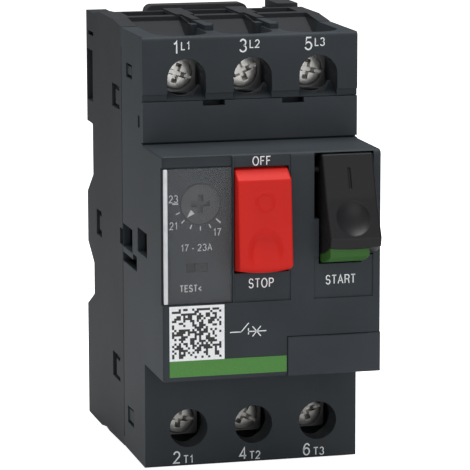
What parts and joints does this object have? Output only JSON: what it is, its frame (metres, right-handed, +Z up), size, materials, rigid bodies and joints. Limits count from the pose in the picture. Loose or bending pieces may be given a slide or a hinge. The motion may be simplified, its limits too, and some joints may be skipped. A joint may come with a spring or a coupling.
{
  "type": "motor protection breaker",
  "caption": "Rail-mounted motor protection breaker with rocker START and STOP buttons, a current setting dial under a clear flap and screw terminals above and below.",
  "frame": {"origin": "on the rail seat, halfway across the width, level with the mounting rail's centre line", "axes": "+X across the poles to the right, -Y to the front, +Z up"},
  "size_m": [0.045, 0.0835, 0.0917],
  "materials": {
    "housing_plastic": "fine eroded texture",
    "cover_plastic": "fine eroded texture",
    "black_plastic": "satin",
    "dial_plastic": "moulded",
    "carrier_plastic": "moulded",
    "red_plastic": "satin",
    "green_plastic": "satin",
    "clear_window": "clear",
    "label_paper": "printed film",
    "steel": "zinc plated",
    "screw_metal": "nickel plated",
    "clamp_metal": "zinc plated",
    "copper_strip": "bright copper alloy",
    "bimetal_metal": "rolled"
  },
  "bodies": {
    "housing": {"rear_base": "housing_plastic", "front_housing": "housing_plastic", "accessory_cover": "cover_plastic", "corner_cover": "cover_plastic", "front_label": "label_paper", "button_shaft": "steel", "din_clip_spring": "steel", "mechanism_frame": "steel", "lever_pins": "steel", "assembly_screws": "screw_metal", "line_terminal_1": "copper_strip", "load_contact_1": "copper_strip", "load_terminal_1": "copper_strip", "bimetal_1": "bimetal_metal", "arc_chute_1": "steel", "line_terminal_2": "copper_strip", "load_contact_2": "copper_strip", "load_terminal_2": "copper_strip", "bimetal_2": "bimetal_metal", "arc_chute_2": "steel", "line_terminal_3": "copper_strip", "load_contact_3": "copper_strip", "load_terminal_3": "copper_strip", "bimetal_3": "bimetal_metal", "arc_chute_3": "steel"},
    "start_button": {"start_button": "black_plastic", "start_flank": "green_plastic", "button_spring": "steel"},
    "stop_button": {"stop_button": "red_plastic"},
    "setting_dial": {"setting_dial": "dial_plastic"},
    "test_slider": {"test_slider": "black_plastic"},
    "dial_window": {"dial_window": "clear_window"},
    "din_clip": {"din_clip": "black_plastic"},
    "contact_carrier": {"contact_carrier": "carrier_plastic", "contact_springs": "steel", "contact_bridge_1": "copper_strip", "contact_bridge_2": "copper_strip", "contact_bridge_3": "copper_strip"},
    "drive_lever": {"drive_lever": "steel"},
    "latch_lever": {"latch_lever": "steel"},
    "trip_bar": {"trip_bar": "carrier_plastic"},
    "trip_plunger_1": {"trip_plunger_1": "steel"},
    "trip_plunger_2": {"trip_plunger_2": "steel"},
    "trip_plunger_3": {"trip_plunger_3": "steel"},
    "clamp_plate_1": {"clamp_plate_1": "clamp_metal"},
    "terminal_screw_1": {"terminal_screw_1": "screw_metal"},
    "clamp_plate_2": {"clamp_plate_2": "clamp_metal"},
    "terminal_screw_2": {"terminal_screw_2": "screw_metal"},
    "clamp_plate_3": {"clamp_plate_3": "clamp_metal"},
    "terminal_screw_3": {"terminal_screw_3": "screw_metal"},
    "clamp_plate_4": {"clamp_plate_4": "clamp_metal"},
    "terminal_screw_4": {"terminal_screw_4": "screw_metal"},
    "clamp_plate_5": {"clamp_plate_5": "clamp_metal"},
    "terminal_screw_5": {"terminal_screw_5": "screw_metal"},
    "clamp_plate_6": {"clamp_plate_6": "clamp_metal"},
    "terminal_screw_6": {"terminal_screw_6": "screw_metal"}
  },
  "joints": [
    {"name": "start_button_rock", "type": "hinge", "parent": "housing", "child": "start_button", "pos_m": [0, -0.0664, 0.0189], "axis": [1, 0, 0], "range_deg": [0, 21], "stiffness_Nm_per_rad": 0.02, "springref_deg": -28.65},
    {"name": "stop_button_rock", "type": "hinge", "parent": "housing", "child": "stop_button", "pos_m": [0, -0.0664, 0.0189], "axis": [1, 0, 0], "range_deg": [-15, 0]},
    {"name": "contact_carrier_slide", "type": "slide", "parent": "housing", "child": "contact_carrier", "axis": [0, 1, 0], "range_m": [0, 0.00245]},
    {"name": "drive_lever_turn", "type": "hinge", "parent": "housing", "child": "drive_lever", "pos_m": [0, -0.042, 0.011], "axis": [1, 0, 0], "range_deg": [0, 12]},
    {"name": "trip_bar_slide", "type": "slide", "parent": "housing", "child": "trip_bar", "axis": [1, 0, 0], "range_m": [0, 0.0015], "stiffness_N_per_m": 30, "springref_m": -0.002},
    {"name": "latch_lever_turn", "type": "hinge", "parent": "housing", "child": "latch_lever", "pos_m": [0, -0.042, -0.0065], "axis": [1, 0, 0], "range_deg": [0, 10]},
    {"name": "setting_dial_turn", "type": "hinge", "parent": "housing", "child": "setting_dial", "pos_m": [-0.01444, -0.066, 0.01294], "axis": [0, -1, 0], "range_deg": [-45, 95]},
    {"name": "test_slide", "type": "slide", "parent": "housing", "child": "test_slider", "axis": [-1, 0, 0], "range_m": [0, 0.0018], "stiffness_N_per_m": 60, "springref_m": -0.002},
    {"name": "dial_window_swing", "type": "hinge", "parent": "housing", "child": "dial_window", "pos_m": [-0.0219, -0.06825, 0.00665], "axis": [0, 0, -1], "range_deg": [0, 110]},
    {"name": "din_clip_slide", "type": "slide", "parent": "housing", "child": "din_clip", "axis": [0, 0, 1], "range_m": [0, 0.0023], "stiffness_N_per_m": 1500, "springref_m": -0.003, "deforming": ["din_clip_spring"]},
    {"name": "trip_plunger_1_slide", "type": "slide", "parent": "housing", "child": "trip_plunger_1", "axis": [0, -1, 0], "range_m": [0, 0.0025], "stiffness_N_per_m": 40, "springref_m": -0.002},
    {"name": "trip_plunger_2_slide", "type": "slide", "parent": "housing", "child": "trip_plunger_2", "axis": [0, -1, 0], "range_m": [0, 0.0025], "stiffness_N_per_m": 40, "springref_m": -0.002},
    {"name": "trip_plunger_3_slide", "type": "slide", "parent": "housing", "child": "trip_plunger_3", "axis": [0, -1, 0], "range_m": [0, 0.0025], "stiffness_N_per_m": 40, "springref_m": -0.002},
    {"name": "clamp_plate_1_slide", "type": "slide", "parent": "housing", "child": "clamp_plate_1", "axis": [0, -1, 0], "range_m": [-0.00455, 0]},
    {"name": "terminal_screw_1_turn", "type": "hinge", "parent": "clamp_plate_1", "child": "terminal_screw_1", "pos_m": [-0.01335, -0.038, 0.03595], "axis": [0, -1, 0], "range_deg": [-2450, 0]},
    {"name": "clamp_plate_2_slide", "type": "slide", "parent": "housing", "child": "clamp_plate_2", "axis": [0, -1, 0], "range_m": [-0.00455, 0]},
    {"name": "terminal_screw_2_turn", "type": "hinge", "parent": "clamp_plate_2", "child": "terminal_screw_2", "pos_m": [-0.01335, -0.038, -0.0365], "axis": [0, -1, 0], "range_deg": [-2450, 0]},
    {"name": "clamp_plate_3_slide", "type": "slide", "parent": "housing", "child": "clamp_plate_3", "axis": [0, -1, 0], "range_m": [-0.00455, 0]},
    {"name": "terminal_screw_3_turn", "type": "hinge", "parent": "clamp_plate_3", "child": "terminal_screw_3", "pos_m": [0.00045, -0.038, 0.03595], "axis": [0, -1, 0], "range_deg": [-2450, 0]},
    {"name": "clamp_plate_4_slide", "type": "slide", "parent": "housing", "child": "clamp_plate_4", "axis": [0, -1, 0], "range_m": [-0.00455, 0]},
    {"name": "terminal_screw_4_turn", "type": "hinge", "parent": "clamp_plate_4", "child": "terminal_screw_4", "pos_m": [0.00045, -0.038, -0.0365], "axis": [0, -1, 0], "range_deg": [-2450, 0]},
    {"name": "clamp_plate_5_slide", "type": "slide", "parent": "housing", "child": "clamp_plate_5", "axis": [0, -1, 0], "range_m": [-0.00455, 0]},
    {"name": "terminal_screw_5_turn", "type": "hinge", "parent": "clamp_plate_5", "child": "terminal_screw_5", "pos_m": [0.01425, -0.038, 0.03595], "axis": [0, -1, 0], "range_deg": [-2450, 0]},
    {"name": "clamp_plate_6_slide", "type": "slide", "parent": "housing", "child": "clamp_plate_6", "axis": [0, -1, 0], "range_m": [-0.00455, 0]},
    {"name": "terminal_screw_6_turn", "type": "hinge", "parent": "clamp_plate_6", "child": "terminal_screw_6", "pos_m": [0.01425, -0.038, -0.0365], "axis": [0, -1, 0], "range_deg": [-2450, 0]}
  ],
  "couplings": [
    {"joint": "stop_button_rock", "follows": "start_button_rock", "ratio": -0.6},
    {"joint": "contact_carrier_slide", "follows": "start_button_rock", "m_per_rad": 0.0066},
    {"joint": "drive_lever_turn", "follows": "start_button_rock", "ratio": 0.5},
    {"joint": "latch_lever_turn", "follows": "trip_bar_slide", "rad_per_m": 110},
    {"joint": "terminal_screw_1_turn", "follows": "clamp_plate_1_slide", "rad_per_m": 8976},
    {"joint": "terminal_screw_2_turn", "follows": "clamp_plate_2_slide", "rad_per_m": 8976},
    {"joint": "terminal_screw_3_turn", "follows": "clamp_plate_3_slide", "rad_per_m": 8976},
    {"joint": "terminal_screw_4_turn", "follows": "clamp_plate_4_slide", "rad_per_m": 8976},
    {"joint": "terminal_screw_5_turn", "follows": "clamp_plate_5_slide", "rad_per_m": 8976},
    {"joint": "terminal_screw_6_turn", "follows": "clamp_plate_6_slide", "rad_per_m": 8976}
  ]
}
